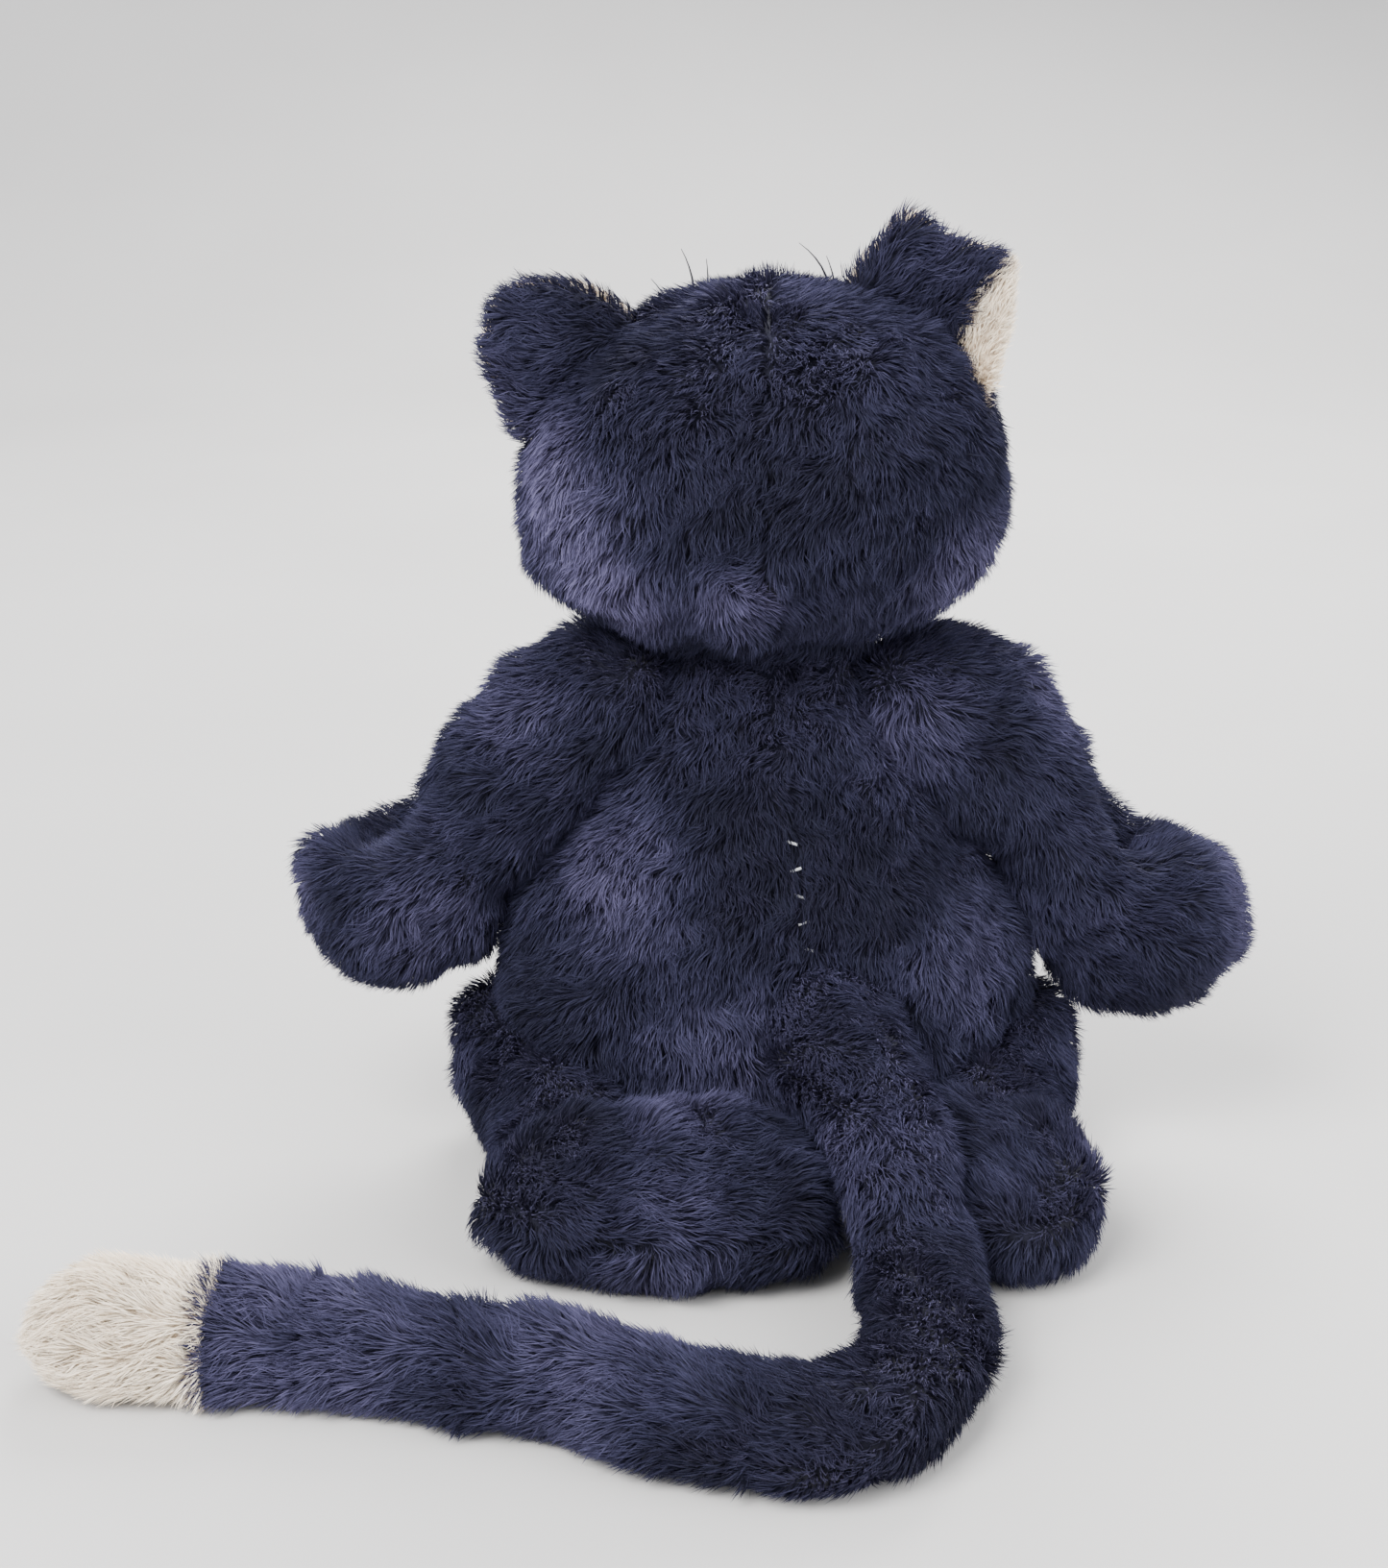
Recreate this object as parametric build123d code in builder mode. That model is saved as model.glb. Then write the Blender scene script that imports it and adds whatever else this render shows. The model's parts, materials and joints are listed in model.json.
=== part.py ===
from build123d import *
import os
from math import asin, cos, pi, radians, sin

# A stuffed plush cat sitting upright, facing -Y, on a table at Z = 0.
# The origin is the centre of the flat seat; +X is the cat's left. Millimetres.

os.makedirs("parts", exist_ok=True)

# Fabric and fit
skin = 1.6  # plush fabric's backing, and the foot of its pile
slack = 0.3  # between a cover and its filling
joint_gap = 0.6  # between a limb's round end and the hollow it turns in

# Torso: a loft of ellipses, each (height, half width); depth follows the width
torso_sections = [
    (0, 60), (12, 80), (32, 91), (55, 94), (85, 90), (115, 77), (145, 62), (172, 46), (194, 25),
]
torso_top = torso_sections[-1][0]
torso_depth = 0.65  # half depth over half width
base_height = 6  # where the seat panel is sewn to the body panels

# Pellet bag, low in the seat, and its pellets
bag_half_length, bag_half_width = 50, 30
bag_floor, bag_height = 4, 26
bag_skin = 0.8
pellet_radius = 3
pellet_pitch = 12
pellet_rows, pellet_columns, pellet_layers = 3, 6, 2

# Seam up the back, which leans towards the tail, and the stitches that close it
back_seam_top = (0, 0, 195)
back_seam_run = (-20, 0, -129)
stitch_count = 5
stitch_pitch = 9
stitch_start = 100
stitch_slant = 0.35
stitch_length, stitch_radius = 4, 0.5
stitch_standoff = 1.8  # from the back's straight run between sections to a stitch's middle

# Neck and head
neck_height, neck_radius = 212, 22
head_height = 262
head_half_width, head_half_depth = 80, 60
head_roll = 8.5  # the cat's right ear is held higher

# Face, in the head's own frame
muzzle_forward, muzzle_drop = 52, 18
muzzle_half_width, muzzle_half_height = 30, 19
eye_across, eye_up, eye_radius = 27, 8, 7
shank_radius, shank_length = 1.8, 14
washer_radius, washer_thickness = 6, 1.2
washer_depth = 8  # from the skin's outside to the washer's near face
nose_drop, nose_half_width, nose_radius = 8, 6.5, 4.6
mouth_drop = 14.5
whisker_radius, whisker_length = 0.35, 42
brow_across, brow_up, brow_length = 26, 40, 36

# Ears
ear_width, ear_height, ear_thickness = 56, 41, 11
ear_tip_width = 40
ear_standoff = 2.5  # between the head's skin and the ear's foot
ear_angle = {"left": 56, "right": -56}  # from the crown, in the head's frame
ear_lean = {"left": -11, "right": 24}  # of the ear about its foot, from straight out

# Arms: shoulder, elbow and paw
shoulder = (58, 0, 175)
shoulder_radius, elbow_radius, paw_radius = 25, 22.5, 29
arm_relief = 3.5  # between the upper arm and the dent it lies in
elbow = {"left": (101, -2, 135), "right": (-103, -2, 134)}
paw = {"left": (137, -4, 98), "right": (-146, -4, 93)}
plug_radius = 11

# Legs: tucked behind, with the feet flat on the table
hip = (78, -8, 28.3)
thigh_radius, ankle_radius = 28, 21
leg_relief = 2.2  # between the leg and the dent it is tucked in
thigh_clear, thigh_clear_low, thigh_clear_high = 34, 33, 59.5  # room over the thigh to swing in
ankle = {"left": (70, 76, 24), "right": (-84, 76, 24)}
heel = {"left": (65, 90), "right": (-87, 92)}
toe = {"left": (15, 90), "right": (-67, 77)}
foot_radius = 25
foot_lift = 0.3  # the foot's underside above the table
sole_height = 30  # where the upper sole panel is sewn on

# Tail: joints and bends of its centre line
tail_radius, tail_root_radius = 15.5, 21
tail_root_relief = 6
tail_gap = 2.5  # round each ball in the tail, so that two spans can bend at it
tail_low = tail_radius + 0.3
tail_root = (-24, 57, 66)
tail_spans = {
    "tail_root": [tail_root, (-42, 106, 48), (-48, 145, tail_low + 4)],
    "tail_1": [(-48, 145, tail_low + 4), (-49, 181, tail_low), (-36, 216, tail_low)],
    "tail_2": [(-36, 216, tail_low), (-12, 233, tail_low), (26, 224, tail_low), (60, 205, tail_low)],
    "tail_3": [(60, 205, tail_low), (94, 196, tail_low), (125, 186, tail_low)],
    "tail_4": [(125, 186, tail_low), (156, 180, tail_low), (177, 178.5, tail_low)],
}
tail_tip_length = 42

sides = {"left": 1, "right": -1}
off_axis = (0.3, 0.2, 1)
side_seam = Plane.XZ.offset(-3)  # the side seams, just behind the widest line
head_frame = Plane(
    origin=(0, 0, head_height),
    x_dir=(cos(radians(head_roll)), 0, -sin(radians(head_roll))),
    z_dir=(sin(radians(head_roll)), 0, cos(radians(head_roll))),
)


def write(part, name):
    """Label a finished piece and write it to its own file."""
    part.label = name
    export_step(part, f"parts/{name}.step")


def mirrored(point, side):
    """The same point on the named side of the body."""
    return (point[0] * sides[side], point[1], point[2])


def torso_shape(inset):
    """The torso's closed shape, drawn in from its skin by inset."""
    with BuildPart() as shape:
        for height, half_width in torso_sections:
            level = min(max(height, inset), torso_top - inset)
            with BuildSketch(Plane.XY.offset(level)):
                Ellipse(half_width - inset, half_width * torso_depth - inset)
        loft()
    return shape.part


def ball(centre, radius):
    """A sphere about a point, turned so that its seam line lies on no plane of symmetry."""
    with BuildPart(Plane(origin=centre, z_dir=off_axis)) as shape:
        Sphere(radius)
    return shape.part


def ellipsoid(frame, half_length, half_width):
    """An ellipsoid of revolution about the frame's X axis."""
    with BuildPart() as shape:
        with BuildSketch(Plane(origin=frame.origin, x_dir=frame.x_dir, z_dir=frame.y_dir + frame.z_dir)):
            with BuildLine():
                EllipticalCenterArc((0, 0), half_length, half_width, arc_size=180)
                Line((half_length, 0), (-half_length, 0))
            make_face()
        revolve(axis=Axis(frame.origin, frame.x_dir))
    return shape.part


def oval(frame, half_length, half_width):
    """The same ellipsoid as one smooth stretched sphere, for a form with pockets cut in it."""
    with BuildPart() as shape:
        with Locations(Location((0, 0, 0), (20, 30, 0))):
            Sphere(1)
        scale(by=(half_length, half_width, half_width))
    return frame.location * shape.part


def limb(start, end, start_radius, end_radius):
    """Two balls joined by the cone that is tangent to both."""
    start, end = Vector(*start), Vector(*end)
    along = (end - start).normalized()
    length = (end - start).length
    across = along.cross(Vector(0, 1, 0.3)).normalized()
    lean = asin((start_radius - end_radius) / length)
    low, high = (lean - pi / 2) / 2, (lean + pi / 2) / 2
    with BuildPart() as shape:
        with BuildSketch(Plane(origin=start, x_dir=across, z_dir=across.cross(along))):
            with BuildLine():
                ThreePointArc(
                    (0, -start_radius),
                    (start_radius * cos(low), start_radius * sin(low)),
                    (start_radius * cos(lean), start_radius * sin(lean)),
                )
                Line(
                    (start_radius * cos(lean), start_radius * sin(lean)),
                    (end_radius * cos(lean), length + end_radius * sin(lean)),
                )
                ThreePointArc(
                    (end_radius * cos(lean), length + end_radius * sin(lean)),
                    (end_radius * cos(high), length + end_radius * sin(high)),
                    (0, length + end_radius),
                )
                Line((0, length + end_radius), (0, -start_radius))
            make_face()
        revolve(axis=Axis(start, along))
    return shape.part


def upper_arm(side, inset):
    """Shoulder to elbow, drawn in from the skin by inset."""
    return limb(mirrored(shoulder, side), elbow[side], shoulder_radius - inset, elbow_radius - inset)


def arm_shape(side, inset):
    """Shoulder to paw, drawn in from the skin by inset."""
    return upper_arm(side, inset) + limb(elbow[side], paw[side], elbow_radius - inset, paw_radius - inset)


def leg_shape(side, inset):
    """Thigh and shin as one tapered form, drawn in from the skin by inset."""
    return limb(mirrored(hip, side), ankle[side], thigh_radius - inset, ankle_radius - inset)


def foot_shape(side, inset):
    """The foot's rounded lobe, drawn in from the skin by inset."""
    level, radius = foot_radius + foot_lift, foot_radius - inset
    return limb((*heel[side], level), (*toe[side], level), radius, radius)


def tail_tube(points, radius):
    """A round tube along rounded runs, with a ball at its first end."""
    with BuildPart() as shape:
        with BuildLine() as route:
            FilletPolyline(*points, radius=bend_radii(points))
        with BuildSketch(Plane(origin=route.line @ 0, z_dir=route.line % 0)):
            Circle(radius)
        sweep()
    return shape.part + ball(points[0], radius)


def bend_radii(points):
    """The largest tangent arc at each corner that its two runs leave room for."""
    corners = [Vector(*p) for p in points]
    radii = []
    for before, here, after in zip(corners, corners[1:], corners[2:]):
        first, second = here - before, after - here
        half_turn = radians(first.get_angle(second)) / 2
        radii.append(0.45 * min(first.length, second.length) * cos(half_turn) / sin(half_turn))
    return radii


def part_of(shape, plane, keep):
    """The side of a shape that a plane keeps."""
    with BuildPart() as piece:
        add(shape)
        split(bisect_by=plane, keep=keep)
    return piece.part


# ---------------------------------------------------------------- hollows in the torso
hollows = [ball((0, 0, neck_height), neck_radius + joint_gap), ball(tail_root, tail_root_radius + tail_root_relief)]
for side, sign in sides.items():
    with BuildPart() as thigh_room:
        with Locations((sign * hip[0], hip[1], (thigh_clear_low + thigh_clear_high) / 2)):
            Cylinder(thigh_clear, thigh_clear_high - thigh_clear_low)
    hollows += [upper_arm(side, -arm_relief), leg_shape(side, -leg_relief), thigh_room.part]


def cut(shape, tools):
    """A shape with each tool's volume taken away in turn."""
    for tool in tools:
        shape = shape - tool
    return shape


# ---------------------------------------------------------------- torso
torso_skin = torso_shape(0)
torso_cover = cut(torso_skin, [torso_shape(skin), *hollows])
base_plane = Plane.XY.offset(base_height)
upper_cover = part_of(torso_cover, base_plane, Keep.TOP)
back_cover = part_of(upper_cover, side_seam, Keep.BOTTOM)
write(part_of(torso_cover, base_plane, Keep.BOTTOM), "seat_base")
write(part_of(upper_cover, side_seam, Keep.TOP), "torso_front")
back_seam = Plane(origin=back_seam_top, z_dir=(-back_seam_run[2], 0, back_seam_run[0]))
write(part_of(back_cover, back_seam, Keep.TOP), "torso_back_left")
write(part_of(back_cover, back_seam, Keep.BOTTOM), "torso_back_right")


def bag_shape(inset):
    """The pellet bag's pillow, drawn in by inset."""
    with BuildPart() as shape:
        with BuildSketch(Plane.XY.offset(bag_floor + inset)):
            Ellipse(bag_half_length - inset, bag_half_width - inset)
        extrude(amount=bag_height - 2 * inset)
        fillet(shape.edges(), radius=bag_height / 3 - inset)
    return shape.part


write(bag_shape(0) - bag_shape(bag_skin), "pellet_bag")

with BuildPart() as bean_pellets:
    for layer in range(pellet_layers):
        level = bag_floor + bag_height / 2 + (layer - 0.5) * pellet_pitch * 0.8
        with Locations(Plane.XY.offset(level)):
            with GridLocations(pellet_pitch, pellet_pitch, pellet_columns, pellet_rows):
                Sphere(pellet_radius)
write(bean_pellets.part, "bean_pellets")

write(cut(torso_shape(skin + slack), [bag_shape(-slack), *hollows]), "torso_stuffing")


def back_surface(across, height):
    """About how far back the torso's skin stands at a distance across from its middle."""
    for (low, low_width), (high, high_width) in zip(torso_sections, torso_sections[1:]):
        if low <= height <= high:
            share = (height - low) / (high - low)
            width = low_width + share * (high_width - low_width)
            return torso_depth * (width**2 - across**2) ** 0.5


with BuildPart() as closing_seam_thread:
    for number in range(stitch_count):
        height = stitch_start + number * stitch_pitch
        across = back_seam_run[0] * (height - back_seam_top[2]) / back_seam_run[2]
        stitch = Plane(
            origin=(across, back_surface(across, height) + stitch_standoff, height),
            x_dir=(0, 1, 0),
            z_dir=(1, 0, stitch_slant * (-1) ** number),
        )
        with BuildSketch(stitch):
            Circle(stitch_radius)
        extrude(amount=stitch_length / 2, both=True)
write(closing_seam_thread.part, "closing_seam_thread")

# ---------------------------------------------------------------- neck
write(ball((0, 0, neck_height), neck_radius), "neck_stuffing_plug")

# ---------------------------------------------------------------- head
head_skin = ellipsoid(head_frame, head_half_width, head_half_depth)
neck_hollow = ball((0, 0, neck_height), neck_radius + joint_gap)


def head_point(x, y, z):
    """A point of the head's frame, as the part's own coordinates."""
    return head_frame.from_local_coords(Vector(x, y, z))


def face_frame(x, z, depth):
    """A plane facing forward out of the head at a place on its face."""
    return Plane(origin=head_point(x, -depth, z), x_dir=head_frame.x_dir, z_dir=(0, -1, 0))


def face_depth(x, z):
    """How far forward of the head's centre its skin stands at a place on the face."""
    return head_half_depth * (1 - (x / head_half_width) ** 2 - (z / head_half_depth) ** 2) ** 0.5


def post(frame, radius, length):
    """A round post along a frame's Z axis, from its origin."""
    with BuildPart() as shape:
        with BuildSketch(frame):
            Circle(radius)
        extrude(amount=length)
    return shape.part


eye_places = {side: (sides[side] * eye_across, eye_up) for side in sides}
button_places = {**eye_places, "nose": (0, -nose_drop)}
holes = [neck_hollow]
washer_rooms = [neck_hollow]
washers = {}
shanks = {}
for name, (x, z) in button_places.items():
    inside = face_frame(x, z, face_depth(x, z) - shank_length)
    washer_frame = face_frame(x, z, face_depth(x, z) - washer_depth - washer_thickness)
    shanks[name] = post(inside, shank_radius, shank_length + 1.5)
    holes.append(post(inside, shank_radius + 0.1, shank_length + 10))
    room = post(washer_frame.offset(-slack), washer_radius + slack, washer_thickness + 2 * slack)
    washer_rooms += [post(inside.offset(-slack), shank_radius + slack, shank_length), room]
    washers[name] = post(washer_frame, washer_radius, washer_thickness) - post(
        inside, shank_radius + 0.05, shank_length
    )

head_lining = ellipsoid(head_frame, head_half_width - skin, head_half_depth - skin)
head_cover = cut(head_skin, [head_lining, *holes])
middle = Plane(origin=head_frame.origin, z_dir=head_frame.x_dir)
for region, keep in (("head_back", Keep.BOTTOM), ("face", Keep.TOP)):
    region_cover = part_of(head_cover, side_seam, keep)
    write(part_of(region_cover, middle, Keep.TOP), f"{region}_left")
    write(part_of(region_cover, middle, Keep.BOTTOM), f"{region}_right")

inset = skin + slack
head_filling = oval(head_frame, head_half_width - inset, head_half_depth - inset)
write(cut(head_filling, washer_rooms), "head_stuffing")



def pad(half_width, radius, forward, drop):
    """A rounded bar across the face."""
    reach = half_width - radius
    return limb(head_point(-reach, -forward, -drop), head_point(reach, -forward, -drop), radius, radius)


# The muzzle is a small oval cushion sewn to the face
muzzle_form = pad(muzzle_half_width, muzzle_half_height, muzzle_forward, muzzle_drop)
muzzle_front = muzzle_forward + muzzle_half_height * (
    1 - ((muzzle_drop - nose_drop) / muzzle_half_height) ** 2
) ** 0.5
write(cut(muzzle_form, [head_skin, *holes]), "muzzle_pad")

nose_button = pad(nose_half_width, nose_radius, muzzle_front + 1, nose_drop) - muzzle_form
nose_shank = post(
    face_frame(0, -nose_drop, face_depth(0, -nose_drop) - shank_length),
    shank_radius,
    shank_length + muzzle_front - face_depth(0, -nose_drop) + 1,
)
write(nose_button + nose_shank, "nose")
for side, (x, z) in eye_places.items():
    dome = ball(head_point(x, -face_depth(x, z) - 0.6, z), eye_radius)
    write((dome - head_skin) + shanks[side], f"{side}_eye")
write(Compound(children=[washers["left"], washers["right"]]), "eye_washers")
write(washers["nose"], "nose_washer")

with BuildPart() as mouth_thread:
    for drop in (mouth_drop, mouth_drop + 4, mouth_drop + 8):
        reach = muzzle_half_height * (1 - ((muzzle_drop - drop) / muzzle_half_height) ** 2) ** 0.5
        stitch = Plane(
            origin=head_point(0, -muzzle_forward - reach - stitch_radius - 0.3, -drop),
            z_dir=head_frame.z_dir,
        )
        with BuildSketch(stitch):
            Circle(stitch_radius)
        extrude(amount=1.6, both=True)
write(mouth_thread.part, "mouth_thread")


def bristle(base, tip, radius):
    """A straight nylon bristle between two points of the head's frame."""
    base, tip = head_point(*base), head_point(*tip)
    return post(Plane(origin=base, z_dir=tip - base), radius, (tip - base).length)


muzzle_whiskers, brow_whiskers = [], []
for sign in sides.values():
    for rise in (-1, 0, 1):
        base = (sign * (muzzle_half_width - 1), -muzzle_forward - 7, -muzzle_drop + 3 + rise * 4)
        tip = (base[0] + sign * whisker_length, base[1] + 8, base[2] + rise * 8)
        muzzle_whiskers.append(bristle(base, tip, whisker_radius))
    base = (sign * brow_across, -face_depth(brow_across, brow_up) - 0.5, brow_up)
    tip = (base[0] + sign * brow_length * 0.3, base[1] - 4, brow_up + brow_length)
    brow_whiskers.append(bristle(base, tip, whisker_radius))
write(Compound(children=muzzle_whiskers), "muzzle_whiskers")
write(Compound(children=brow_whiskers), "brow_whiskers")

# ---------------------------------------------------------------- ears


def ear_foot(side):
    """Where the ear's middle meets the head's skin, and the way it points, in the head's frame."""
    angle, lean = radians(ear_angle[side]), radians(ear_angle[side] + ear_lean[side])
    reach = 1 / ((sin(angle) / head_half_width) ** 2 + (cos(angle) / head_half_depth) ** 2) ** 0.5
    return Vector(reach * sin(angle), 0, reach * cos(angle)), Vector(sin(lean), 0, cos(lean))


def ear_frame(side):
    """The ear's own plane: X across it, Y out of the head, Z towards the back."""
    foot, out = ear_foot(side)
    origin = head_point(*foot)
    up = head_point(*(foot + out)) - origin
    return Plane(origin=origin, x_dir=up.cross(Vector(0, 1, 0)), z_dir=(0, 1, 0))


def ear_shape(side):
    """A flat cushion with a blunt tip, wider at its foot."""
    with BuildPart() as shape:
        with BuildSketch(ear_frame(side).offset(-ear_thickness / 2)) as outline:
            with BuildLine():
                Polyline(
                    (-ear_width / 2, -12),
                    (-ear_width / 2, 4),
                    (-ear_tip_width / 2, ear_height - 3),
                    (0, ear_height),
                    (ear_tip_width / 2, ear_height - 3),
                    (ear_width / 2, 4),
                    (ear_width / 2, -12),
                    close=True,
                )
            make_face()
            fillet(outline.vertices().group_by(Axis.Y)[-2:][0] + outline.vertices().group_by(Axis.Y)[-1], 9)
        extrude(amount=ear_thickness)
        fillet(shape.faces().sort_by(Axis.Y)[0].edges() + shape.faces().sort_by(Axis.Y)[-1].edges(), 4.5)
    return shape.part


head_room = ellipsoid(head_frame, head_half_width + ear_standoff, head_half_depth + ear_standoff)
for side in sides:
    ear = ear_shape(side) - head_room
    write(part_of(ear, Plane.XZ.offset(-0.1), Keep.BOTTOM), f"{side}_ear_back")
    write(part_of(ear, Plane.XZ.offset(0.1), Keep.TOP), f"{side}_ear_lining")

# ---------------------------------------------------------------- arms
for side in sides:
    plug = ball(mirrored(shoulder, side), plug_radius)
    write(plug, f"{side}_shoulder_plug")
    write(arm_shape(side, 0) - arm_shape(side, skin), f"{side}_arm_cover")
    room = ball(mirrored(shoulder, side), plug_radius + joint_gap)
    write(arm_shape(side, skin + slack) - room, f"{side}_arm_stuffing")

# ---------------------------------------------------------------- legs
sole_plane = Plane.XY.offset(sole_height)
for side in sides:
    leg_skin = leg_shape(side, 0)
    write(leg_skin - leg_shape(side, skin), f"{side}_leg_cover")
    write(leg_shape(side, skin + slack), f"{side}_leg_stuffing")
    foot_cover = foot_shape(side, 0) - foot_shape(side, skin) - leg_skin
    write(part_of(foot_cover, sole_plane, Keep.TOP), f"{side}_foot_sole")
    write(part_of(foot_cover, sole_plane, Keep.BOTTOM), f"{side}_foot_cover")
    write(foot_shape(side, skin + slack) - leg_shape(side, -slack), f"{side}_foot_stuffing")

# ---------------------------------------------------------------- tail
names = list(tail_spans)
for number, name in enumerate(names):
    points = tail_spans[name]
    outer = tail_tube(points, tail_radius)
    cavity = tail_tube(points, tail_radius - skin)
    filling = tail_tube(points, tail_radius - skin - slack)
    if number == 0:
        outer += ball(points[0], tail_root_radius)
        cavity += ball(points[0], tail_root_radius - skin)
        filling += ball(points[0], tail_root_radius - skin - slack)
    if number < len(names) - 1:
        next_ball = ball(points[-1], tail_radius + tail_gap)
        outer, cavity, filling = outer - next_ball, cavity - next_ball, filling - next_ball
    write(outer - cavity, f"{name}_cover")
    write(filling, f"{name}_stuffing")


def tip_shape(inset):
    """The tail's rounded end, cut flat where it joins the last span."""
    before, join = [Vector(*point) for point in tail_spans["tail_4"][-2:]]
    along = (join - before).normalized()
    form = limb(join, join + along * tail_tip_length, tail_radius - inset, tail_radius - inset)
    return part_of(form, Plane(origin=join, z_dir=along), Keep.TOP)


write(tip_shape(0) - tip_shape(skin), "tail_tip_cover")
write(tip_shape(skin + slack), "tail_tip_stuffing")
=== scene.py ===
import json
import math

import bpy
import numpy as np
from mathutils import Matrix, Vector
from mathutils.bvhtree import BVHTree
from mathutils.kdtree import KDTree


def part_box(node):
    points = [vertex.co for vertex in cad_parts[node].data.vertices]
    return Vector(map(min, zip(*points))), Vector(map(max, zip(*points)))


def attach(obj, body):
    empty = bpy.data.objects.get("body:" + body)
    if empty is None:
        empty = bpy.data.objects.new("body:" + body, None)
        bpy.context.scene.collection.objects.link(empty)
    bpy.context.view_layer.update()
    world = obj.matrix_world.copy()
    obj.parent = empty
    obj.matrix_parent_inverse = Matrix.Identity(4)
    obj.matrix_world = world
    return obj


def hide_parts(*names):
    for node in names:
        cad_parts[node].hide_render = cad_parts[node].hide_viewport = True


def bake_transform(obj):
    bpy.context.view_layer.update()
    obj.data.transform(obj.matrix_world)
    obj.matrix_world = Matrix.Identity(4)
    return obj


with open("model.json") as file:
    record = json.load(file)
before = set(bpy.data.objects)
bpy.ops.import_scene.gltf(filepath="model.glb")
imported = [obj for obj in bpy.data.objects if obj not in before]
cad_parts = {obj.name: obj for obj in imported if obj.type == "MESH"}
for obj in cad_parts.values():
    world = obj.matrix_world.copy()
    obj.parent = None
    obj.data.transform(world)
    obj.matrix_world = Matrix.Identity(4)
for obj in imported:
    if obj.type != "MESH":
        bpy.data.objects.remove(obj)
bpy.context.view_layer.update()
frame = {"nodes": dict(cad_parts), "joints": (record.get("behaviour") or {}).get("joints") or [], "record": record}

MM = 0.001
UP = np.array([0.0, 0.0, 1.0])
BACK = np.array([0.0, 1.0, 0.0])
SIDES = {"left": 1.0, "right": -1.0}
JOINTS = {joint["name"]: np.array(joint["pos_m"]) for joint in frame["joints"]}

# Pile: the plush's hair, in tufts of a few fibres each
PILE_LENGTH = 10.0 * MM
TUFT_WIDTH = 0.52 * MM
TUFTS_PER_MM2 = 1.45
CLUMP_SPACING = 2.2 * MM
FLOOR_GAP = 0.4 * MM
HAIR_SHAPE = (0.0, 0.55, 1.0)  # where along its length a tuft has its rings

# Painted sheen and shade: patches where the pile is painted pale, as sheen where it lies over, or dark, as shade
# where it stands up: centre and reach in mm, and how much
PAINTED_NAP_SHEEN = (
    # the back of the head
    ((64, 26, 250), 34, 0.75), ((76, 20, 276), 26, 0.5), ((50, 34, 222), 24, 0.55), ((12, 50, 226), 18, 0.6),
    ((-66, 24, 236), 24, 0.6), ((5, 0, 320), 38, 0.3), ((-8, 56, 270), 34, -0.12),
    # the back, the arms and the thighs
    ((54, 45, 128), 36, 0.75), ((20, 58, 62), 32, 0.32), ((-70, 38, 92), 26, 0.4), ((-12, 52, 135), 44, -0.38),
    ((-50, 24, 170), 24, 0.45), ((-104, 0, 182), 24, 0.5), ((84, 12, 176), 27, 0.5),
    ((122, 20, 100), 24, 0.4), ((165, 0, 104), 18, 0.55), ((-165, 0, 98), 24, 0.5), ((-135, 12, 110), 28, 0.2),
    ((96, 24, 42), 36, -0.12), ((-98, 24, 42), 36, -0.12), ((114, 0, 40), 20, 0.35), ((-114, 0, 40), 20, 0.35),
    # the ears
    ((88, 4, 315), 30, 0.22), ((-66, 4, 335), 30, 0.18),
    # the feet and the tail
    ((72, 100, 44), 18, -0.4), ((34, 84, 52), 24, 0.45), ((30, 122, 18), 28, 0.45), ((-110, 92, 30), 20, 0.45),
    ((-14, 104, 52), 18, 0.5), ((-40, 118, 52), 30, 0.32), ((-44, 172, 24), 34, -0.4), ((-30, 222, 24), 34, -0.35),
    ((50, 205, 30), 45, 0.42), ((140, 180, 22), 50, 0.55),
)


# ---------------------------------------------------------------- mesh helpers
def unit(vectors):
    """Each row scaled to length one."""
    return vectors / np.maximum(np.linalg.norm(vectors, axis=-1, keepdims=True), 1e-12)


def mesh_object(name, points, faces):
    """A new object from arrays of points and of faces with the same number of corners each."""
    faces = np.asarray(faces, np.int32)
    mesh = bpy.data.meshes.new(name)
    mesh.vertices.add(len(points))
    mesh.vertices.foreach_set("co", np.asarray(points, np.float32).ravel())
    mesh.loops.add(faces.size)
    mesh.loops.foreach_set("vertex_index", faces.ravel())
    mesh.polygons.add(len(faces))
    mesh.polygons.foreach_set("loop_start", np.arange(len(faces), dtype=np.int32) * faces.shape[1])
    mesh.update(calc_edges=True)
    mesh.polygons.foreach_set("use_smooth", np.ones(len(faces), bool))
    thing = bpy.data.objects.new(name, mesh)
    bpy.context.scene.collection.objects.link(thing)
    return thing


def triangles(thing):
    """A mesh's points, corners of its triangles and point normals, as arrays."""
    mesh = thing.data
    mesh.calc_loop_triangles()
    points = np.empty(len(mesh.vertices) * 3, np.float32)
    mesh.vertices.foreach_get("co", points)
    corners = np.empty(len(mesh.loop_triangles) * 3, np.int32)
    mesh.loop_triangles.foreach_get("vertices", corners)
    normals = np.empty(len(mesh.vertices) * 3, np.float32)
    mesh.vertex_normals.foreach_get("vector", normals)
    return points.reshape(-1, 3).astype(float), corners.reshape(-1, 3), normals.reshape(-1, 3).astype(float)


def settle(thing):
    """Applies an object's modifiers to its mesh."""
    graph = bpy.context.evaluated_depsgraph_get()
    mesh = bpy.data.meshes.new_from_object(thing.evaluated_get(graph))
    thing.modifiers.clear()
    old, thing.data = thing.data, mesh
    bpy.data.meshes.remove(old)
    return thing


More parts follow.
